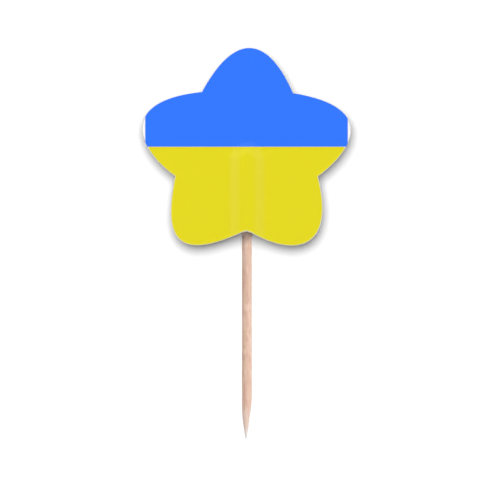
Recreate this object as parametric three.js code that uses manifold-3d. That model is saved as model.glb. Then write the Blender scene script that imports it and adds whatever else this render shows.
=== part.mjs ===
// A cupcake pick: a paper star with five rounded lobes on a wooden toothpick.
// Two cards of one outline are glued together with the blunt end of the pick between them, so the
// paper of each card rises over the pick in a ridge that closes in a round end.
// Millimetres. The point of the pick is at the origin and the pick runs up +Z. The printed card
// faces -Y, with +X to the right of someone who looks at it.

import * as THREE from 'three';
import { mergeVertices } from 'three/addons/utils/BufferGeometryUtils.js';
import Module from 'manifold-3d';

const wasm = await Module();
wasm.setup();

// The pick
const pickLength = 64;
const pickDiameter = 2.2;
const gripLength = 16.7; // the stretch of the pick that lies between the cards
const pointLength = 8.4; // the sharpened end
const tipDiameter = 0.22; // the point is worn round
const pointBulge = 0.13; // how far the flank of the point swells from a straight cone
const endBevel = 0.15; // the sawn end's broken edge
const pickSides = 40;

// The star, seen from the front
const lobeReach = 24.3; // from the middle to the outermost of a lobe
const notchRadius = 17.1; // from the middle to a notch between two lobes
const lobeFullness = 7.7; // degrees from a lobe's middle to each of the two handles that round it
const starTurn = -0.5; // degrees, anticlockwise
// The star was drawn by hand, so its lobes are not quite alike. From the top lobe anticlockwise:
// how much further than lobeReach a lobe reaches and how many degrees it leans from its even place,
// then how much less than the rest the notch after it cuts in and how many degrees it lies aside.
const lobes = [
  { further: -0.05, lean: -1.1, shallower: 0.45, aside: 0 },
  { further: 0.45, lean: 0.2, shallower: -0.3, aside: -0.3 },
  { further: -0.15, lean: -1.2, shallower: -0.3, aside: 0.4 },
  { further: -0.35, lean: 1.1, shallower: -0.4, aside: 1.6 },
  { further: 0.05, lean: -0.9, shallower: 0.35, aside: 0 },
];
const bottomNotch = lobes[2];
const lobeSegments = 28;

// The print is a square picture, a little larger than the star is high, so it falls short of the
// side lobes and leaves an end of bare paper at the left and the right.
const printBleed = 0.6; // past the top and the bottom of the star
const printShift = new THREE.Vector2(-0.05, -0.15); // from the middle of the cut star's outline
const blueInk = 0x3479ff;
const yellowInk = 0xe6da22;
const paperWhite = 0xf7f7f4;

// The sheets
const paperThickness = 0.3;
const glueThickness = 0.1; // between the flat parts of the two cards
const glueInset = 0.4; // the glue stops this far short of the cards' edge
const glueFill = 0.7; // how far off the middle plane the glue fills the corners beside the pick
const fitGap = 0.05; // round the pick, and between the glue and the paper of the tunnel

// The ridge
const slopeWidth = 3.3; // from the crest down to the flat of the card
const slopeSegments = 12;
const endSegments = 40; // round the full circle that the ridge's closed end is half of

const pickRadius = pickDiameter / 2;
const glueHalf = glueThickness / 2;
const crestHeight = pickRadius + fitGap; // the paper's inner face over the pick
const ridgeTop = pickLength - pickRadius; // middle of the round end, so that it covers the pick's end
const straightUp = 90; // degrees, anticlockwise from +X
const notchHeight = pickLength - gripLength; // the bottom notch, where the pick goes in
const starHeight = notchHeight + notchRadius + bottomNotch.shallower; // the middle of the star
const beyond = 2 * lobeReach; // clear of the star's outline

// A closed three.js geometry as a solid that can be joined and cut.
function solid(geometry) {
  geometry.deleteAttribute('normal');
  geometry.deleteAttribute('uv');
  const merged = mergeVertices(geometry);
  return new wasm.Manifold(new wasm.Mesh({
    numProp: 3,
    vertProperties: merged.attributes.position.array,
    triVerts: new Uint32Array(merged.index.array),
  }));
}

// A point at a radius and an angle, in degrees, round the middle of the star.
function polar(radius, degrees) {
  const angle = THREE.MathUtils.degToRad(degrees);
  return new THREE.Vector2(radius * Math.cos(angle), radius * Math.sin(angle));
}

// The star's outline, drawn in by an inset. Each lobe is one cubic curve from notch to notch. Its
// outermost point is one eighth of each end and three eighths of each handle, which gives the
// handles' radius from the lobe's reach.
function starShape(inset) {
  const step = 360 / lobes.length;
  const cosine = (degrees) => Math.cos(THREE.MathUtils.degToRad(degrees));
  const shape = new THREE.Shape();
  const last = lobes.at(-1);
  let notch = notchRadius + last.shallower - inset;
  let middle = straightUp + starTurn;
  const start = polar(notch, middle - step / 2 + last.aside);
  shape.moveTo(start.x, start.y);
  for (const { further, lean, shallower, aside } of lobes) {
    const nextNotch = notchRadius + shallower - inset;
    const ends = (notch + nextNotch) * cosine(step / 2);
    const handle = (8 * (lobeReach + further - inset) - ends) / (6 * cosine(lobeFullness));
    const first = polar(handle, middle + lean - lobeFullness);
    const second = polar(handle, middle + lean + lobeFullness);
    const end = polar(nextNotch, middle + step / 2 + aside);
    shape.bezierCurveTo(first.x, first.y, second.x, second.y, end.x, end.y);
    notch = nextNotch;
    middle += step;
  }
  return shape;
}

// A star that fills the space from y = front to y = back.
function starSlab(inset, front, back) {
  const geometry = new THREE.ExtrudeGeometry(starShape(inset), {
    depth: back - front,
    bevelEnabled: false,
    curveSegments: lobeSegments,
  });
  geometry.rotateX(Math.PI / 2);
  geometry.translate(0, back, starHeight);
  return solid(geometry);
}

// The paper's inner face across the ridge, from the middle outwards: level over the pick, then down
// a slope that is level at both its ends. Each point is its distance from the middle of the ridge
// and its height off the middle plane. raised moves it along its normal.
function ridgeProfile(raised) {
  const points = [new THREE.Vector2(0, crestHeight + raised)];
  const drop = crestHeight - glueHalf;
  for (let i = 0; i <= slopeSegments; i++) {
    const u = i / slopeSegments;
    const height = crestHeight - drop * u * u * (3 - 2 * u);
    const slope = -drop * 6 * u * (1 - u) / slopeWidth;
    const normal = new THREE.Vector2(-slope, 1).normalize();
    const point = new THREE.Vector2(pickRadius + u * slopeWidth, height);
    points.push(point.addScaledVector(normal, raised));
  }
  return points;
}

// What lies between the middle plane and a profile: a straight run from below the star up to
// ridgeTop, closed there by half a turn of the same profile. side is -1 in front and 1 behind.
function ridge(profile, side) {
  const foot = profile[profile.length - 1].x;
  const half = [...profile, new THREE.Vector2(foot, 0)];
  const left = half.slice(1).reverse().map((p) => new THREE.Vector2(-p.x, p.y));
  const section = [...left, ...half].map((p) => new THREE.Vector2(p.x, side * p.y));
  const run = new THREE.ExtrudeGeometry(new THREE.Shape(section), {
    depth: beyond,
    bevelEnabled: false,
  });
  run.translate(0, 0, ridgeTop - beyond);

  // A lathe's faces point outwards where its profile runs up the axis.
  const closed = [...half, new THREE.Vector2(0, 0)].map((p) => new THREE.Vector2(p.x, side * p.y));
  if (side > 0) closed.reverse();
  const end = new THREE.LatheGeometry(closed, endSegments);
  end.translate(0, 0, ridgeTop);
  return solid(run).add(solid(end));
}

// One card: the flat star and its ridge, hollow where the pick lies.
function card(side) {
  const faces = [side * glueHalf, side * (glueHalf + paperThickness)];
  const flat = starSlab(0, Math.min(...faces), Math.max(...faces));
  const outline = starSlab(0, -beyond, beyond);
  return flat
    .add(ridge(ridgeProfile(paperThickness), side))
    .subtract(ridge(ridgeProfile(0), side))
    .intersect(outline);
}

// The glue: a layer between the cards, and the fillets beside the pick, which stop short of the
// crest and leave the pick's own place free.
function glue() {
  const fillet = ridgeProfile(0).map(
    (p) => new THREE.Vector2(p.x, Math.min(Math.max(p.y - fitGap, 0), glueFill)),
  );
  const place = new THREE.CylinderGeometry(
    pickRadius + fitGap, pickRadius + fitGap, pickLength + fitGap, pickSides,
  );
  place.rotateX(Math.PI / 2);
  place.translate(0, 0, (pickLength + fitGap) / 2);
  return starSlab(glueInset, -glueHalf, glueHalf)
    .add(ridge(fillet, -1))
    .add(ridge(fillet, 1))
    .intersect(starSlab(glueInset, -beyond, beyond))
    .subtract(solid(place));
}

// The pick's outline from the point up: a rounded tip, a flank that swells a little from a cone,
// the straight shank and the sawn end.
function toothpick() {
  const tipRadius = tipDiameter / 2;
  const tipSegments = 4;
  const flankSegments = 10;
  const outline = [];
  for (let i = 0; i <= tipSegments; i++) {
    const angle = (Math.PI / 2) * (i / tipSegments);
    outline.push(new THREE.Vector2(tipRadius * Math.sin(angle), tipRadius * (1 - Math.cos(angle))));
  }
  for (let i = 1; i <= flankSegments; i++) {
    const u = i / flankSegments;
    const cone = tipRadius + (pickRadius - tipRadius) * u;
    const swell = 4 * pointBulge * u * (1 - u);
    outline.push(new THREE.Vector2(cone + swell, tipRadius + (pointLength - tipRadius) * u));
  }
  outline.push(new THREE.Vector2(pickRadius, pickLength - endBevel));
  outline.push(new THREE.Vector2(pickRadius - endBevel, pickLength));
  outline.push(new THREE.Vector2(0, pickLength));
  const geometry = new THREE.LatheGeometry(outline, pickSides);
  geometry.rotateX(Math.PI / 2);
  return geometry;
}

// A solid as a geometry with flat faces.
function toGeometry(shape) {
  const mesh = shape.getMesh();
  const geometry = new THREE.BufferGeometry();
  geometry.setAttribute('position', new THREE.BufferAttribute(mesh.vertProperties, 3));
  geometry.setIndex(new THREE.BufferAttribute(mesh.triVerts, 1));
  const flat = geometry.toNonIndexed();
  flat.computeVertexNormals();
  return flat;
}

// The picture as a texture of one texel for each field: bare paper, ink and bare paper from left to
// right, yellow below blue. Its borders fall on the print's two ends and on its half height.
function withPrint(geometry) {
  const outline = new THREE.Box2().setFromPoints(starShape(0).getPoints(lobeSegments));
  const centre = outline.getCenter(new THREE.Vector2()).add(printShift);
  const printSize = outline.max.y - outline.min.y + 2 * printBleed;
  const textureMiddle = 0.5;
  const fieldsAcross = 3;
  const place = geometry.getAttribute('position');
  const uv = new Float32Array(2 * place.count);
  for (let i = 0; i < place.count; i++) {
    const across = (place.getX(i) - centre.x) / printSize;
    const up = (place.getZ(i) - starHeight - centre.y) / printSize;
    uv[2 * i] = textureMiddle + across / fieldsAcross;
    uv[2 * i + 1] = textureMiddle + up;
  }
  geometry.setAttribute('uv', new THREE.BufferAttribute(uv, 2));
  return geometry;
}

function printTexture() {
  const fields = [paperWhite, yellowInk, paperWhite, paperWhite, blueInk, paperWhite];
  const texels = fields.flatMap((hex) => [hex >> 16, (hex >> 8) & 255, hex & 255, 255]);
  const texture = new THREE.DataTexture(new Uint8Array(texels), 3, 2);
  texture.colorSpace = THREE.SRGBColorSpace;
  texture.needsUpdate = true;
  return texture;
}

function piece(name, geometry, material) {
  const mesh = new THREE.Mesh(geometry, new THREE.MeshStandardMaterial({ metalness: 0, ...material }));
  mesh.name = name;
  return mesh;
}

const pick = new THREE.Group();
pick.add(
  piece('front_card', withPrint(toGeometry(card(-1))), { map: printTexture(), roughness: 0.55 }),
  piece('back_card', toGeometry(card(1)), { color: paperWhite, roughness: 0.8 }),
  piece('glue', toGeometry(glue()), { color: 0xe9e4d4, roughness: 0.4 }),
  piece('toothpick', toothpick(), { color: 0xdebeac, roughness: 0.85 }),
);

export default pick;
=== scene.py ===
# %% [markdown]
# # A cupcake pick
# A paper star with five round lobes sits on a wooden toothpick. It is two printed or plain cards
# of one outline, glued together with the blunt end of the stick between them. The paper has to
# climb over the stick, so each card carries a low ridge that closes in a round end. This notebook
# dresses a measured model of the pick: it keeps every size and place, and adds the finish.

import math

import bmesh
import bpy
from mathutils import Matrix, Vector


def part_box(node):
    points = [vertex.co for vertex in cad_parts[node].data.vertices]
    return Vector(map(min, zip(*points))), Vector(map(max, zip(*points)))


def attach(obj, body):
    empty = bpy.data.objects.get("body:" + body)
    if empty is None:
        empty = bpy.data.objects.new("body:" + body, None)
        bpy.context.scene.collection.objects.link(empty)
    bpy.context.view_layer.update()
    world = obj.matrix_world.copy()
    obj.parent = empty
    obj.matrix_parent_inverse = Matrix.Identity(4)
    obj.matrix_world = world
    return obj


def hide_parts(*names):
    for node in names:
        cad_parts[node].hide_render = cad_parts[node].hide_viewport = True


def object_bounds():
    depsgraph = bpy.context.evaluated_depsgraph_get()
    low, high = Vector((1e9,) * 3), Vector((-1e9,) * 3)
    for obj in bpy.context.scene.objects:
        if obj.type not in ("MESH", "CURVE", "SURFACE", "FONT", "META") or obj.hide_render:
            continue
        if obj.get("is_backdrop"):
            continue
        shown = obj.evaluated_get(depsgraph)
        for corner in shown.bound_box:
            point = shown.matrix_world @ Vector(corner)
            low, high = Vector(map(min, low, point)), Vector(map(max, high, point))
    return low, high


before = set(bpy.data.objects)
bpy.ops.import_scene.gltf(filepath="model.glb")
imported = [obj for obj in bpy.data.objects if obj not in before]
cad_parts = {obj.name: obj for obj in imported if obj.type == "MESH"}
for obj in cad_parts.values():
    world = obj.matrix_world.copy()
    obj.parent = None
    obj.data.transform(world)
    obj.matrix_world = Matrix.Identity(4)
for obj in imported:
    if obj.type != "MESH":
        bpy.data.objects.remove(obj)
measured_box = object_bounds()
print("pieces in the measured model:", sorted(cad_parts))

# %% [markdown]
# ## Sizes
# Blender works in metres and a toothpick is easier to think of in millimetres, so each size is
# written as a number of millimetres. The stick's sizes come from the measured model. The star is
# described the way its cutting die would be: how far a lobe reaches from the middle and how far a
# notch lies from it. It was drawn by hand, so each lobe has its own small differences: how much
# further it reaches, how many degrees it leans out of its even place, how wide it is and how much
# heavier its second shoulder is than its first. Then comes how much less the notch after it cuts
# in, and how many degrees that notch lies aside.

# %% Sizes of the stick and the star
mm = 0.001

stick_low, stick_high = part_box("toothpick")
stick_length = stick_high.z
stick_radius = (stick_high.x - stick_low.x) / 2
point_length = 8.4 * mm
tip_radius = 0.11 * mm
point_bulge = 0.13 * mm
end_bevel = 0.15 * mm

grip_length = 16.88 * mm  # the stretch of the stick that lies between the cards
lobe_reach = 24.3 * mm
notch_radius = 17.1 * mm
star_turn = -0.5  # degrees, anticlockwise
lobes = [  # from the top anticlockwise: further, lean, fullness, heavier, shallower and aside
    (-0.05 * mm, -1.1, 7.7, 0.0, 0.44 * mm, 0.0),
    (0.21 * mm, 6.0, 10.0, -0.132, -0.12 * mm, -1.15),
    (0.11 * mm, -5.0, 6.5, 0.112, -0.12 * mm, 0.4),
    (-0.32 * mm, -2.1, 9.5, 0.078, -0.32 * mm, 1.7),
    (-0.1 * mm, -5.3, 8.6, 0.112, 0.36 * mm, -0.1),
]
bottom_notch_radius = notch_radius + lobes[2][4]
star_height = stick_length - grip_length + bottom_notch_radius

paper_thickness = 0.3 * mm
glue_thickness = 0.1 * mm
fit_gap = 0.05 * mm
crest_height = stick_radius + fit_gap
ridge_top = stick_length - stick_radius
slope_width = 3.3 * mm

print("stick %.1f by %.1f mm, middle of the star at %.1f mm" % (
    stick_length / mm, 2 * stick_radius / mm, star_height / mm))

# %% [markdown]
# ## Writing node trees as sums
# A pattern is far easier to read as `1 - mask * 0.3` than as three boxes and four wires. `Value`
# wraps the output socket of a node. Each operator on it adds the Math node that works it out, and
# the reflected forms let a plain number stand on the left. `Graph.node` adds any other node: it
# takes the kind of node, then its settings, then what goes into its sockets.

# %% Value and Graph
class Value:
    """The output socket of a node, which can be used in a sum."""

    def __init__(self, graph, socket):
        self.graph, self.socket = graph, socket

    def math(self, operation, *others):
        return self.graph.math(operation, self, *others)

    def out(self, name):
        """Another output of the same node."""
        return Value(self.graph, find_socket(self.socket.node.outputs, name))

    def __add__(self, other):
        return self.math("ADD", other)

    def __sub__(self, other):
        return self.math("SUBTRACT", other)

    def __mul__(self, other):
        return self.math("MULTIPLY", other)

    def __truediv__(self, other):
        return self.math("DIVIDE", other)

    def __pow__(self, other):
        return self.math("POWER", other)

    def __rsub__(self, other):
        return self.graph.math("SUBTRACT", other, self)

    def __rtruediv__(self, other):
        return self.graph.math("DIVIDE", other, self)

    __radd__ = __add__
    __rmul__ = __mul__

    def least(self, other):
        return self.math("MINIMUM", other)

    def most(self, other):
        return self.math("MAXIMUM", other)

    def step(self, low, high):
        """0 below low, 1 above high and a smooth rise between them. It falls if low is the larger."""
        return self.graph.node(
            "ShaderNodeMapRange",
            {"interpolation_type": "SMOOTHSTEP"},
            {"Value": self, "From Min": low, "From Max": high},
        )

    def vector(self, operation, other):
        return self.graph.node("ShaderNodeVectorMath", {"operation": operation}, {0: self, 1: other})


def find_socket(sockets, key):
    """A socket by its number, its identifier or its name, where the node uses it."""
    if isinstance(key, int):
        return sockets[key]
    for socket in sockets:
        if socket.identifier == key:
            return socket
    return next(s for s in sockets if s.enabled and s.name == key)


class Graph:
    """A node tree that is written in Python."""

    def __init__(self, tree):
        self.tree = tree

    def node(self, kind, settings=None, sockets=None, out=0):
        made = self.tree.nodes.new(kind)
        for name, setting in (settings or {}).items():
            setattr(made, name, setting)
        for key, value in (sockets or {}).items():
            socket = find_socket(made.inputs, key)
            if isinstance(value, Value):
                self.tree.links.new(value.socket, socket)
            else:
                socket.default_value = value
        return Value(self, find_socket(made.outputs, out)) if len(made.outputs) else made

    def math(self, operation, *values):
        return self.node("ShaderNodeMath", {"operation": operation}, dict(enumerate(values)))

    def split(self, vector):
        """The x, y and z of a vector."""
        first = self.node("ShaderNodeSeparateXYZ", {}, {0: vector})
        return first, first.out("Y"), first.out("Z")

    def join(self, x, y, z):
        return self.node("ShaderNodeCombineXYZ", {}, {"X": x, "Y": y, "Z": z})

    def mix(self, factor, a, b):
        """Colour a where factor is 0 and colour b where it is 1."""
        return self.node(
            "ShaderNodeMix",
            {"data_type": "RGBA"},
            {"Factor_Float": factor, "A_Color": a, "B_Color": b},
            out="Result_Color",
        )


# %% [markdown]
# ## From a tree to a plain mesh
# A Geometry Nodes tree has named inputs, so one tree makes both cards. `start_tree` opens a tree
# with its inputs, and `make_mesh` runs it on an empty object. The modifier finds an input by its
# identifier, not by its name. The result is copied into a plain mesh and the modifier goes, which
# leaves an object that any other program can read.

# %% Helpers for Geometry Nodes
def start_tree(name, sizes, counts):
    """A tree with an input for each size and count, and one for the material. Returns the inputs."""
    tree = bpy.data.node_groups.new(name, "GeometryNodeTree")
    kinds = [(label, "NodeSocketFloat") for label in sizes]
    kinds += [(label, "NodeSocketInt") for label in counts]
    for label, kind in kinds + [("Finish", "NodeSocketMaterial")]:
        tree.interface.new_socket(label, in_out="INPUT", socket_type=kind)
    tree.interface.new_socket("Mesh", in_out="OUTPUT", socket_type="NodeSocketGeometry")
    graph = Graph(tree)
    first = graph.node("NodeGroupInput")
    return graph, {label: first.out(label) for label in [*sizes, *counts, "Finish"]}


def end_tree(graph, geometry, finish):
    """Closes the tree: smooth shading, real geometry and the material."""
    smooth = graph.node("GeometryNodeSetShadeSmooth", {}, {"Geometry": geometry})
    real = graph.node("GeometryNodeRealizeInstances", {}, {"Geometry": smooth})
    dressed = graph.node("GeometryNodeSetMaterial", {}, {"Geometry": real, "Material": finish})
    graph.node("NodeGroupOutput", {}, {"Mesh": dressed})


def make_mesh(name, graph, values):
    """Runs a tree once and returns an object that holds the result as a plain mesh."""
    piece = bpy.data.objects.new(name, bpy.data.meshes.new(name))
    bpy.context.scene.collection.objects.link(piece)
    modifier = piece.modifiers.new("Shape", "NODES")
    modifier.node_group = graph.tree
    for item in graph.tree.interface.items_tree:
        if item.in_out == "INPUT":
            modifier[item.identifier] = values[item.name]
    scene_now = bpy.context.evaluated_depsgraph_get()
    mesh = bpy.data.meshes.new_from_object(
        piece.evaluated_get(scene_now), preserve_all_data_layers=True, depsgraph=scene_now
    )
    piece.modifiers.remove(modifier)
    piece.data = mesh
    mesh.name = name
    mesh.materials.clear()  # its first slot is empty, and no face uses that one
    mesh.materials.append(values["Finish"])
    mesh.polygons.foreach_set("material_index", [0] * len(mesh.polygons))
    body = bmesh.new()
    body.from_mesh(mesh)
    print("%s: %d faces, %.2f mm3" % (name, len(body.faces), body.calc_volume(signed=True) / mm**3))
    body.free()
    return piece


# %% [markdown]
# ## The star, draped over the stick
# A card is one sheet of paper, and its whole shape follows a rule, so a Geometry Nodes tree is the
# honest way to make it. The tree starts from a flat grid and wraps it round the sheet: one side of
# the grid goes round the star's outline, and the other runs from the middle of the outer face to
# the cut edge, round it, and back to the middle of the inner face. Merging the grid's own borders
# then closes the seam and the two poles.
#
# Where a point of the grid lands comes from three small rules. The outline is five Bezier curves
# from notch to notch. The height of the paper over the middle plane is level over the stick and falls
# in a smooth step to the flat. The cut edge is slightly rounded, because a die crushes the corners
# of the paper as it goes through.

# %% Rule for the outline
def lobe_point(graph, t, lobe, sizes):
    """Where the outline is at t, from 0 to 1, along a lobe: its x and z from the star's middle."""
    count = len(lobes)
    step = 2 * math.pi / count
    chosen = [graph.math("COMPARE", lobe, k, 0.5) for k in range(count)]

    def of_lobe(label, ahead=0):
        return sum(mask * sizes[label % ((k + ahead) % count)] for k, mask in enumerate(chosen))

    reach, lean = of_lobe("Lobe %d reach"), of_lobe("Lobe %d lean")
    fullness, heavier = of_lobe("Lobe %d fullness"), of_lobe("Lobe %d heavier")
    notch, next_notch = of_lobe("Notch %d radius", -1), of_lobe("Notch %d radius")
    aside, next_aside = of_lobe("Notch %d aside", -1), of_lobe("Notch %d aside")

    # The outermost point of a lobe is one eighth of each notch and three eighths of each handle.
    ends = (notch + next_notch) * math.cos(step / 2)
    handle = (8 * reach - ends) / (6 * fullness.math("COSINE"))
    middle = lobe * step + math.pi / 2 + sizes["Star turn"]
    corners = [
        ((1 - t) ** 3, notch, middle - step / 2 + aside),
        (3 * t * (1 - t) ** 2, handle * (1 - heavier), middle + lean - fullness),
        (3 * t ** 2 * (1 - t), handle * (1 + heavier), middle + lean + fullness),
        (t ** 3, next_notch, middle + step / 2 + next_aside),
    ]
    x = sum(weight * radius * angle.math("COSINE") for weight, radius, angle in corners)
    z = sum(weight * radius * angle.math("SINE") for weight, radius, angle in corners)
    return x, z


# %% Rule for the ridge
def ridge_heights(graph, x, z, sizes):
    """The height of a card's inner and outer face over the middle plane, and the way from the ridge."""
    above = (z - sizes["Ridge top"]).most(0)
    away = (x * x + above * above).math("SQRT")
    down = ((away - sizes["Stick radius"]) / sizes["Slope width"]).most(0).least(1)
    drop = sizes["Crest height"] - sizes["Glue thickness"] / 2
    inner = sizes["Crest height"] - drop * down * down * (3 - 2 * down)
    slope = drop * 6 * down * (1 - down) / sizes["Slope width"]
    across = sizes["Paper thickness"] * (1 + slope * slope).math("SQRT")
    return inner, inner + across, away


# %% [markdown]
# Real card is never quite flat. Damp glue makes it cockle by a few hundredths of a millimetre, and
# the paper puckers a little where the ridge's round end pushes it out of its plane. Both only lift
# the card away from the glue, so nothing cuts into anything.

# %% Rule for the cockle
def cockle(graph, x, z, away, sizes):
    """How far the damp paper stands off its flat place."""
    place = graph.join(x, sizes["Seed"], z)
    waves = graph.node("ShaderNodeTexNoise", {}, {"Vector": place, "Scale": 0.11 / mm, "Detail": 1.0})
    flat = away.step(sizes["Stick radius"], sizes["Stick radius"] + sizes["Slope width"])
    round_end = (z - sizes["Ridge top"]).math("ARCTAN2", x)
    near_end = away.step(1.5 * mm, 3 * mm) * away.step(9 * mm, 4 * mm)
    above = (z - sizes["Ridge top"]).step(-1 * mm, 1.5 * mm)
    puckers = ((round_end * 9).math("SINE") + 1) * near_end * above
    return sizes["Cockle"] * (waves.step(0.4, 0.75) * flat + puckers * 0.35)


# %% The tree for a card
crowding = 0.6  # 0 spaces a lobe's points evenly and 1 crowds them most


def card_graph():
    """The draped card, as a tree with named inputs. Side is -1 for the front and 1 for the back."""
    sizes = ["Side", "Seed", "Star turn", "Star height"]
    for k in range(len(lobes)):
        sizes += ["Lobe %d %s" % (k, size) for size in ("reach", "lean", "fullness", "heavier")]
        sizes += ["Notch %d %s" % (k, size) for size in ("radius", "aside")]
    sizes += ["Stick radius", "Ridge top", "Crest height", "Slope width"]
    sizes += ["Paper thickness", "Glue thickness", "Edge radius", "Tongue", "Cockle"]
    counts = ["Steps round a lobe", "Rings on a face", "Rings on the edge"]
    graph, given = start_tree("Draped card", sizes, counts)

    around = given["Steps round a lobe"] * len(lobes)
    face_rings = given["Rings on a face"]
    all_rings = face_rings * 2 + given["Rings on the edge"]
    grid = graph.node(
        "GeometryNodeMeshGrid",
        {},
        {"Size X": 1, "Size Y": 1, "Vertices X": around + 1, "Vertices Y": all_rings + 1},
    )
    across, up, _ = graph.split(graph.node("GeometryNodeInputPosition"))
    turns = (across + 0.5) * len(lobes)
    ring = (up + 0.5) * all_rings

    # Along a lobe, points crowd towards the notches, because the ridge runs out at one of them.
    # The small number keeps a point that lies on a notch from falling back into the last lobe.
    lobe = (turns + 0.0001).math("FLOOR").least(len(lobes) - 1)
    share = turns - lobe
    t = share * (1 - crowding) + share * share * (3 - 2 * share) * crowding
    edge_x, edge_z = lobe_point(graph, t, lobe, given)

    # The lowest notch is blunt: a short tongue of paper stays where it crosses the stick.
    over_stick = (edge_x.math("ABSOLUTE") / given["Stick radius"]).step(1.4, 0)
    edge_z = edge_z - given["Tongue"] * over_stick * graph.math("LESS_THAN", edge_z, 0)

    # w is 1 on the outer face and -1 on the inner face, and passes from one to the other on the edge.
    w = (((ring - face_rings) / given["Rings on the edge"]).most(0).least(1) * math.pi).math("COSINE")
    rounding = given["Edge radius"] * (1 - (1 - w.math("ABSOLUTE") ** 3).most(0) ** (1 / 3))
    outward = 1 - (1 - (ring.least(all_rings - ring) / face_rings).least(1)) ** 1.3
    reach = (edge_x * edge_x + edge_z * edge_z).math("SQRT")
    scale = outward * (1 - rounding / reach)
    x, z = edge_x * scale, edge_z * scale + given["Star height"]

    inner, outer, away = ridge_heights(graph, x, z, given)
    height = inner + (outer - inner) * (w + 1) / 2 + cockle(graph, x, z, away, given)
    # The print needs to know which face a point is on, and how many millimetres from the edge.
    marked = grid
    for name, value in (("outer_face", w), ("from_edge", reach * (1 - scale) / mm)):
        marked = graph.node(
            "GeometryNodeStoreNamedAttribute",
            {"data_type": "FLOAT", "domain": "POINT"},
            {"Geometry": marked, "Name": name, "Value": value},
        )
    placed = graph.node(
        "GeometryNodeSetPosition",
        {},
        {"Geometry": marked, "Position": graph.join(x, height * given["Side"], z)},
    )
    closed = graph.node(
        "GeometryNodeMergeByDistance", {}, {"Geometry": placed, "Distance": 0.001 * mm}
    )
    turned = graph.node(
        "GeometryNodeFlipFaces",
        {},
        {"Mesh": closed, "Selection": graph.math("LESS_THAN", given["Side"], 0)},
    )
    end_tree(graph, turned, given["Finish"])
    return graph


# %% [markdown]
# ## The toothpick
# The stick is a lathe shape: a worn tip, a flank that swells a little from a straight cone, and a
# straight shank. A turned toothpick is not smooth, though. The knife tears the softer spring wood
# and leaves long shallow furrows along the grain. A second tree wraps a grid round the stick and
# presses those furrows in with a noise that is stretched along the length. Nor is the stick quite
# true. It bows by a few hundredths of a millimetre, and its point, which was ground against a wheel,
# leans a fifth of a millimetre to one side.

# %% The tree for the toothpick
def stick_graph():
    """The toothpick, as a tree with named inputs."""
    sizes = ["Seed", "Length", "Radius", "Point length", "Point lean", "Tip radius", "Bulge", "Bevel"]
    sizes += ["Furrow depth", "Bow"]
    graph, given = start_tree("Toothpick", sizes, ["Sides", "Rings"])
    grid = graph.node(
        "GeometryNodeMeshGrid",
        {},
        {"Size X": 1, "Size Y": 1, "Vertices X": given["Sides"] + 1, "Vertices Y": given["Rings"] + 1},
    )
    across, up, _ = graph.split(graph.node("GeometryNodeInputPosition"))
    angle = (across + 0.5) * (2 * math.pi)
    ring = (up + 0.5) * given["Rings"]

    # The first and the last ring are the poles, so the second starts at the tip. The rings crowd
    # towards the tip, where the shape changes fastest.
    share = ((ring - 1) / (given["Rings"] - 2)).most(0).least(1)
    z = given["Length"] * share ** 1.4
    pole = ring.least(given["Rings"] - ring).least(1)
    u = (z / given["Point length"]).least(1)
    cone = given["Tip radius"] + (given["Radius"] - given["Tip radius"]) * u
    swelling = given["Bulge"] * 4 * u * (1 - u)
    tip = (z * (given["Tip radius"] * 2 - z).most(0)).math("SQRT")
    worn = graph.math("LESS_THAN", z, given["Tip radius"])
    side = tip * worn + (cone + swelling) * (1 - worn)
    bevel = given["Radius"] - (z - (given["Length"] - given["Bevel"])).most(0)
    smooth = side.least(bevel) * pole

    x, y = smooth * angle.math("COSINE"), smooth * angle.math("SINE")
    furrows = sum(
        share_of_depth * graph.node(
            "ShaderNodeTexNoise",
            {"noise_dimensions": "4D"},
            {"Vector": graph.join(x * across_grain, y * across_grain, z * along_grain),
             "W": given["Seed"], "Scale": 1 / mm, "Detail": 2.0},
        ).step(0.35, 0.65)
        for share_of_depth, across_grain, along_grain in [(0.6, 1.6, 0.05), (0.4, 4.5, 0.18)]
    )
    sunk = 1 + given["Furrow depth"] * (0.5 - furrows) / given["Radius"]
    lean = given["Point lean"] * z.step(given["Point length"] * 1.1, given["Point length"] * 0.52)
    bow = given["Bow"] * (z / given["Length"] * math.pi).math("SINE")
    placed = graph.node(
        "GeometryNodeSetPosition",
        {},
        {"Geometry": grid, "Position": graph.join(x * sunk + lean + bow, y * sunk, z)},
    )
    closed = graph.node(
        "GeometryNodeMergeByDistance", {}, {"Geometry": placed, "Distance": 0.0005 * mm}
    )
    end_tree(graph, closed, given["Finish"])
    return graph


# %% [markdown]
# ## Finishes
# A real surface is never one flat colour. Each finish below starts from the colour that the eye
# sees and adds what the hand and the lens find: fibres in the paper, the grain of the ink, torn
# fibres and flecks on the wood. Two finishes also carry painted shade, which is named where it is
# made. All patterns are read from the place on the object in millimetres, so they need no
# unwrapping and stay put when the object is turned.

# %% Colours and the start and end of a finish
def srgb(red, green, blue):
    """A colour of 0 to 255, as read from a screen, in the linear light that a shader works in."""
    def linear(c):
        return c / 12.92 if c <= 0.04045 else ((c + 0.055) / 1.055) ** 2.4

    return (*(linear(c / 255) for c in (red, green, blue)), 1)


def start_finish(name):
    """An empty material, its graph, and the place on the object in millimetres."""
    material = bpy.data.materials.new(name)
    material.use_nodes = True
    material.node_tree.nodes.clear()
    graph = Graph(material.node_tree)
    place = graph.node("ShaderNodeTexCoord", out="Object").vector("MULTIPLY", (1 / mm,) * 3)
    return material, graph, place


def noise(graph, place, stretch=(1, 1, 1), scale=1.0, detail=2.0, seed=0.0):
    """Noise of a given number of waves per millimetre, which stretch makes longer along an axis."""
    return graph.node(
        "ShaderNodeTexNoise",
        {"noise_dimensions": "4D"},
        {"Vector": place.vector("MULTIPLY", stretch), "W": seed, "Scale": scale, "Detail": detail},
    )


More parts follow.
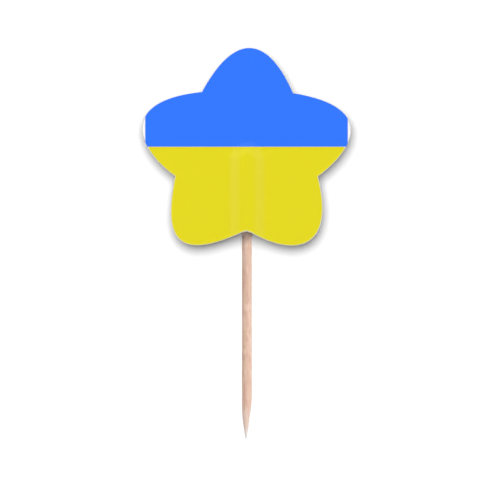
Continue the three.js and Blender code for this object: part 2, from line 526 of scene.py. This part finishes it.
def shade(graph, colour, factor):
    """A colour made lighter or darker by a factor."""
    return graph.node("ShaderNodeVectorMath", {"operation": "SCALE"}, {0: colour, "Scale": factor})


def end_finish(graph, colour, roughness, height, depth, constants):
    """Puts the principled shader under a pattern. depth is how deep the height's relief is."""
    bump = graph.node("ShaderNodeBump", {}, {"Height": height, "Distance": depth, "Strength": 1.0})
    sockets = {"Base Color": colour, "Roughness": roughness, "Normal": bump, **constants}
    shader = graph.node("ShaderNodeBsdfPrincipled", {}, sockets)
    graph.node("ShaderNodeOutputMaterial", {}, {"Surface": shader})


# %% [markdown]
# ### Paper
# The cards are cut from white art card. Its fibres lie flat and cross each other in all directions,
# which shows as a faint cloudiness and a relief of a few thousandths of a millimetre. Where the die
# has cut, the open fibres of the core are duller and a little warmer than the coated face.

# %% Paper
coated_white = srgb(250, 250, 249)
core_white = srgb(238, 234, 224)


def fibres(graph, place):
    """The lie of the paper's fibres: two crossing sets of short strokes and a coarser cloud."""
    one = noise(graph, place, (1.0, 1.0, 0.25), 7.0, 3.0, 1.0)
    other = noise(graph, place, (0.25, 1.0, 1.0), 7.0, 3.0, 2.0)
    cloud = noise(graph, place, (1, 1, 1), 0.6, 2.0, 3.0)
    return one * 0.35 + other * 0.35 + cloud * 0.3


def cut_edge(graph):
    """The outer_face mark, which is 1 on the outer face and -1 on the inner, and the cut between."""
    mark = graph.node("ShaderNodeAttribute", {"attribute_name": "outer_face"}, out="Fac")
    return mark, mark.math("ABSOLUTE").step(0.97, 0.8)


def plain_paper():
    material, graph, place = start_finish("Plain paper")
    lie = fibres(graph, place)
    _, cut = cut_edge(graph)
    colour = graph.mix(cut, coated_white, core_white)
    colour = shade(graph, colour, 0.965 + lie * 0.07)
    end_finish(graph, colour, 0.72 + lie * 0.2, lie, 0.012 * mm, {"Specular IOR Level": 0.3})
    return material


# %% [markdown]
# ### Print
# The picture is a square of two flat bands, blue over yellow. It is a little larger than the star
# is high but narrower than the star is wide, so the tips of the two side lobes stay bare. The
# corners of each band are slightly round. The distance to a field with round corners is a short
# sum, and a smooth step over that distance gives an edge of any softness. The ink itself is not
# even: it sits on the fibres, follows their cloud, and cracks off the crushed corner at the cut.
# In the photograph the yellow also fades a little along the edge, most of all where it is bent
# round the stick. That may be wear, or only the softness of the picture. It is guessed to be wear
# and made as a rim where the paper shows through. On the yellow band that bare paper is darkened.
# This is a painted shade of the lower cut edge, and it is deepest over the stick.

# %% Print
blue_ink = srgb(43, 118, 254)
yellow_ink = srgb(229, 217, 14)
print_middle = -0.11  # millimetres, as all the places and lengths in a finish are
blue_half_width = 22.92
yellow_half_width = 22.4
corner_radius = 0.6
meeting_height = 65.97  # where the two bands meet
band_length = 40.0  # far past the star's edge
ink_softness = 0.02
blue_rim = 0.04  # how far in from the cut the ink is taken to be worn
yellow_rim = 0.24
more_over_stick = 0.3


def band(x, z, half_width, side, ragged):
    """1 on a band of ink with round corners. side is 1 for the upper band and -1 for the lower."""
    middle_height = meeting_height + side * band_length / 2
    across = (x - print_middle).math("ABSOLUTE") - (half_width - corner_radius)
    along = (z - middle_height).math("ABSOLUTE") - (band_length / 2 - corner_radius)
    corner = (across.most(0) * across.most(0) + along.most(0) * along.most(0)).math("SQRT")
    outside = corner + across.most(along).least(0) - corner_radius
    return (outside + ragged).step(ink_softness, -ink_softness)


def printed_paper():
    material, graph, place = start_finish("Printed paper")
    lie = fibres(graph, place)
    x, _, z = graph.split(place)
    ragged = (noise(graph, place, scale=5.0, seed=4.0) - 0.5) * 0.05
    blue = band(x, z, blue_half_width, 1, ragged)
    yellow = band(x, z, yellow_half_width, -1, ragged)

    mark, cut = cut_edge(graph)
    cracked = mark + (noise(graph, place, scale=6.0, detail=3.0, seed=5.0) - 0.5) * 0.5
    on_face = cracked.step(0.35, 0.75)
    paper = graph.mix(cut, coated_white, core_white)
    cloud = noise(graph, place, scale=0.22, detail=1.0, seed=6.0)
    grain = noise(graph, place, scale=11.0, detail=2.0, seed=7.0)
    density = 0.975 + cloud * 0.02 + grain * 0.02 + lie * 0.01
    ink = graph.mix(blue, yellow_ink, blue_ink)

    from_edge = graph.node("ShaderNodeAttribute", {"attribute_name": "from_edge"}, out="Fac")
    over_stick = x.math("ABSOLUTE").step(1.9, 0.6)
    wider = (1 - blue) * (yellow_rim - blue_rim + over_stick * more_over_stick)
    worn = (from_edge + (grain - 0.5) * 0.1).step(blue_rim + wider, 0)
    inked = blue.most(yellow) * on_face * (1 - worn)
    # The paper's tone with its fibres. On the yellow's bare rim it is darkened further: a painted shade
    # of the lower cut edge, deepest over the stick.
    paper_tone_and_edge_shade = 0.965 + lie * 0.07 - worn * (1 - blue) * (0.36 + over_stick * 0.22)
    colour = graph.mix(inked, shade(graph, paper, paper_tone_and_edge_shade), shade(graph, ink, density))

    roughness = 0.32 + lie * 0.12 - inked * 0.04 + cut * 0.35
    relief = lie + inked * 0.25 + grain * 0.1
    end_finish(graph, colour, roughness, relief, 0.008 * mm, {"Specular IOR Level": 0.22})
    return material


# %% [markdown]
# ### Glue
# Dried white glue is ivory and slightly clear, with small bubbles and a skin that has sunk. It only
# shows at the mouth of the tunnel and as a thin line in the edge, so a cloud for the skin and a
# pattern of cells for the bubbles are enough.

# %% Glue
def dried_glue():
    material, graph, place = start_finish("Dried glue")
    skin = noise(graph, place, scale=1.5, detail=3.0, seed=8.0)
    cells = graph.node("ShaderNodeTexVoronoi", {}, {"Vector": place, "Scale": 2.2}, out="Distance")
    bubble = cells.step(0.22, 0.1)
    colour = graph.mix(skin, srgb(236, 231, 214), srgb(224, 214, 188))
    colour = graph.mix(bubble * 0.5, colour, srgb(246, 244, 236))
    end_finish(graph, colour, 0.3 + skin * 0.3, skin - bubble * 0.6, 0.03 * mm, {})
    return material


# %% [markdown]
# ### Birch
# Toothpicks are turned from birch, a pale wood whose fibres run the length of the stick. Four things
# show on it, from coarse to fine: streaks of slower growth, warm and cool patches a millimetre or two
# long, hair-fine fibres, and a few dark flecks. The tip is dull and grey from handling. Just under
# the cards the wood carries a painted shadow of the cards: it is darkened most at the top, and the
# darkening fades out downwards. That stretch is also a little smoother. The painted shadow is made
# lighter in one corner at the left, because with these lamps the card's own shadow falls darker there
# than in the photograph. Above about 30 mm the wood is also slightly darker.

# %% Birch
def birch():
    material, graph, place = start_finish("Birch")
    x, _, z = graph.split(place)
    streaks = noise(graph, place, (1.3, 1.3, 0.05), 1.0, 3.0, 11.0).step(0.35, 0.68)
    patches = noise(graph, place, (1.0, 1.0, 0.45), 1.0, 1.0, 12.0).step(0.42, 0.66)
    pale = noise(graph, place, (0.9, 0.9, 0.35), 1.0, 1.0, 15.0).step(0.5, 0.68)
    hairs = noise(graph, place, (7.0, 7.0, 0.3), 1.0, 2.0, 13.0).step(0.35, 0.7)
    flecks = noise(graph, place, (3.0, 3.0, 1.1), 1.0, 0.0, 14.0).step(0.66, 0.76)
    colour = graph.mix(streaks, srgb(233, 200, 180), srgb(226, 189, 165))
    colour = graph.mix(patches * 0.6, colour, srgb(219, 174, 157))
    colour = graph.mix(pale * 0.6, colour, srgb(242, 212, 192))
    colour = shade(graph, colour, 1.02 - hairs * 0.06)
    colour = graph.mix(flecks * 0.3, colour, srgb(180, 138, 116))
    colour = graph.mix(z.step(8.0, 4.5) * 0.45, colour, srgb(236, 220, 209))
    colour = graph.mix(z.step(3.2, 0.6) * 0.85, colour, srgb(229, 227, 224))

    # Painted shadow of the cards on the wood just under them. It fades out downwards and is lightened
    # in one corner at the left.
    painted_shadow_and_gloss = (z - x * 0.2 + (streaks - 0.5) * 0.4).step(44.4, 46.4)
    painted_shadow_fade = z.step(43.3, 44.7)
    shaded_corner = x.step(-0.2, -1.0) * z.step(45.6, 46.2)
    painted_shade = (painted_shadow_and_gloss * 0.43 + painted_shadow_fade * 0.21) * (1 - shaded_corner * 0.65)
    # Slightly darker above about 30 mm.
    upper_darkening = z.step(26, 36)
    colour = shade(graph, colour, 1.01 - painted_shade - upper_darkening * 0.05)

    roughness = 0.74 + hairs * 0.14 - painted_shadow_and_gloss * 0.2
    relief = streaks * -0.3 - hairs * 0.5 - flecks
    end_finish(graph, colour, roughness, relief, 0.025 * mm, {"Specular IOR Level": 0.5})
    return material


# %% [markdown]
# ## The pieces
# Each tree now runs with its sizes. The two cards differ only in their side, their cockle and their
# finish. The measured glue already has the right shape, so it stays and only gets a finish.

# %% Make the cards
card_sizes = {
    "Star turn": math.radians(star_turn),
    "Star height": star_height,
    "Stick radius": stick_radius,
    "Ridge top": ridge_top,
    "Crest height": crest_height,
    "Slope width": slope_width,
    "Paper thickness": paper_thickness,
    "Glue thickness": glue_thickness,
    "Edge radius": 0.08 * mm,
    "Tongue": 0.34 * mm,
    "Cockle": 0.04 * mm,
    "Steps round a lobe": 80,
    "Rings on a face": 72,
    "Rings on the edge": 8,
}
for k, (further, lean, fullness, heavier, shallower, aside) in enumerate(lobes):
    card_sizes["Lobe %d reach" % k] = lobe_reach + further
    card_sizes["Lobe %d lean" % k] = math.radians(lean)
    card_sizes["Lobe %d fullness" % k] = math.radians(fullness)
    card_sizes["Lobe %d heavier" % k] = heavier
    card_sizes["Notch %d radius" % k] = notch_radius + shallower
    card_sizes["Notch %d aside" % k] = math.radians(aside)

front_sizes = {**card_sizes, "Side": -1.0, "Seed": 0.31, "Finish": printed_paper()}
back_sizes = {**card_sizes, "Side": 1.0, "Seed": 0.77, "Finish": plain_paper()}
card = card_graph()
front = make_mesh("printed_card", card, front_sizes)
back = make_mesh("plain_card", card, back_sizes)

# %% Make the toothpick
stick_sizes = {
    "Seed": 4.0,
    "Length": stick_length,
    "Radius": stick_radius,
    "Point length": point_length,
    "Point lean": -0.21 * mm,
    "Tip radius": tip_radius,
    "Bulge": point_bulge,
    "Bevel": end_bevel,
    "Furrow depth": 0.035 * mm,
    "Bow": -0.035 * mm,
    "Sides": 96,
    "Rings": 420,
}
stick = make_mesh("birch_stick", stick_graph(), {**stick_sizes, "Finish": birch()})

# %% Put the pieces in place of the measured ones
for piece, node, slot in [
    (front, "front_card", "printed_paper"),
    (back, "back_card", "plain_paper"),
    (stick, "toothpick", "birch_wood"),
]:
    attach(piece, "root")
    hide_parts(node)

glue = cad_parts["glue"]
glue.data.materials.clear()
glue.data.materials.append(dried_glue())
for piece in (front, back, stick, glue):
    print(piece.name, "has the finish", piece.data.materials[0].name)

# %% [markdown]
# ## The studio
# The pick stands on its point on a pale floor, a few millimetres in front of a white wall. The wall
# is there only for the camera: it takes no part in how the pick is lit, and it is clear from behind,
# so the back of the card can be looked at too. Its own lamp gives the soft shadow of the card, which
# lies below it and a little to the right.
#
# Two soft boxes, left and right of the camera, light the cards evenly. The stick has a box of its
# own at the right, because in the photograph it is darker on its left side. A box above the camera
# only gives the sheen on the round end of the ridge, and one behind lights the back. The world
# fills in the rest.

# %% Floor and wall
stage_size = 4.0
wall_gap = 4.0 * mm


def plane(name, corners):
    mesh = bpy.data.meshes.new(name)
    mesh.from_pydata(corners, [], [(0, 1, 2, 3)])
    made = bpy.data.objects.new(name, mesh)
    bpy.context.scene.collection.objects.link(made)
    made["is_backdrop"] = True
    return made


def backdrop_finish(name, glow, whiteness):
    """White paper for the camera: it glows a little, so that a shadow on it stays soft."""
    material = bpy.data.materials.new(name)
    material.use_nodes = True
    material.node_tree.nodes.clear()
    graph = Graph(material.node_tree)
    camera = graph.node("ShaderNodeLightPath", out="Is Camera Ray")
    behind = graph.node("ShaderNodeNewGeometry", out="Backfacing")
    diffuse = graph.node("ShaderNodeBsdfDiffuse", {}, {"Color": (whiteness, whiteness, whiteness, 1)})
    glowing = graph.node("ShaderNodeEmission", {}, {"Strength": camera * glow})
    paper = graph.node("ShaderNodeAddShader", {}, {0: diffuse, 1: glowing})
    clear = graph.node("ShaderNodeBsdfTransparent")
    seen = graph.node("ShaderNodeMixShader", {}, {0: behind, 1: paper, 2: clear})
    graph.node("ShaderNodeOutputMaterial", {}, {"Surface": seen})
    return material


half = stage_size / 2
floor = plane("floor", [(-half, -half, 0), (half, -half, 0), (half, half, 0), (-half, half, 0)])
floor.data.materials.append(backdrop_finish("Floor paper", 0.4, 0.7))
wall_corners = [(-half, -half), (half, -half), (half, half), (-half, half)]
wall = plane("wall", [(x, wall_gap, z) for x, z in wall_corners])
wall.data.materials.append(backdrop_finish("Wall paper", 0.02, 0.1))
for ray in ("diffuse", "glossy", "transmission", "shadow"):
    setattr(wall, "visible_" + ray, False)


# %% Lamps
lamp_distance = 0.45


def soft_box(name, azimuth, elevation, width, height, power):
    """A lamp that looks at the star. Azimuth 0 is in front of the printed card, 90 at its right."""
    lamp = bpy.data.objects.new(name, bpy.data.lights.new(name, "AREA"))
    lamp.data.shape, lamp.data.size, lamp.data.size_y = "RECTANGLE", width, height
    lamp.data.energy = power
    a, e = math.radians(azimuth), math.radians(elevation)
    way = Vector((math.sin(a) * math.cos(e), -math.cos(a) * math.cos(e), math.sin(e)))
    lamp.location = Vector((0, 0, star_height)) + way * lamp_distance
    lamp.rotation_euler = way.to_track_quat("Z", "Y").to_euler()
    bpy.context.scene.collection.objects.link(lamp)
    return lamp


def group(name, objects):
    made = bpy.data.collections.new(name)
    for o in objects:
        made.objects.link(o)
    return made


left = soft_box("left_soft_box", -50, 15, 0.25, 0.35, 0.56)
right = soft_box("right_soft_box", 50, 15, 0.25, 0.35, 0.53)
top = soft_box("top_soft_box", 0, 45, 0.35, 0.35, 0.47)
top.visible_diffuse = False
soft_box("rear_soft_box", 180, 35, 0.3, 0.3, 0.3)
stick_box = soft_box("stick_soft_box", 45, 10, 0.2, 0.35, 1.02)
for lamp in (left, right):
    reached = group("reached by the " + lamp.name, [front, back, glue, floor])
    lamp.light_linking.receiver_collection = reached
stick_box.light_linking.receiver_collection = group("reached by the stick's box", [stick])


wall_lamp = bpy.data.objects.new("wall_lamp", bpy.data.lights.new("wall_lamp", "SUN"))
shadow_gap = wall_gap - (glue_thickness / 2 + paper_thickness)
shadow_right, shadow_down, shadow_blur = 0.25 * mm, 0.97 * mm, 1.57 * mm
wall_lamp.data.angle = 2 * math.atan(shadow_blur / shadow_gap)
wall_lamp.data.energy = 31.6
from_lamp = Vector((-shadow_right, -shadow_gap, shadow_down))
wall_lamp.rotation_euler = from_lamp.to_track_quat("Z", "Y").to_euler()
bpy.context.scene.collection.objects.link(wall_lamp)
wall_lamp.light_linking.receiver_collection = group("reached by the wall lamp", [wall])
wall_lamp.light_linking.blocker_collection = group("shadows on the wall", [front, back])

# %% World
world = bpy.data.worlds.new("Studio")
world.use_nodes = True
world.node_tree.nodes.clear()
bpy.context.scene.world = world
sky = Graph(world.node_tree)
seen = sky.node("ShaderNodeBackground", {}, {"Color": (1, 1, 1, 1), "Strength": 1.0})
fill = sky.node("ShaderNodeBackground", {}, {"Color": (1, 1, 1, 1), "Strength": 0.74})
direct = sky.node("ShaderNodeLightPath", out="Is Camera Ray")
both = sky.node("ShaderNodeMixShader", {}, {0: direct, 1: fill, 2: seen})
sky.node("ShaderNodeOutputWorld", {}, {"Surface": both})

# %% [markdown]
# ## The camera
# The card is seen square on and from far away, so parallel rays are the true choice here. The frame
# is 113.1 mm on a side, which makes the stick as wide as it is in the photograph.

# %% Camera
frame_size = 113.1 * mm
frame_middle = Vector((0.68 * mm, 0, 42.62 * mm))
camera = bpy.data.objects.new("camera", bpy.data.cameras.new("camera"))
camera.data.type = "ORTHO"
camera.data.ortho_scale = frame_size
camera.location = frame_middle + Vector((0, -0.5, 0))
camera.rotation_euler = (math.radians(90), 0, 0)
camera.data.clip_start, camera.data.clip_end = 0.01, 10
bpy.context.scene.collection.objects.link(camera)
bpy.context.scene.camera = camera
bpy.context.scene.view_settings.view_transform = "Standard"

# %% [markdown]
# ## Is it still the same size?
# The dressed pick has to stay inside the box of the measured one, so both boxes are written down.

# %% Both boxes
boxes = {"measured": [list(c) for c in measured_box], "dressed": [list(c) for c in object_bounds()]}
for name, (low, high) in boxes.items():
    print(name, [round(c / mm, 3) for c in low], [round(c / mm, 3) for c in high])
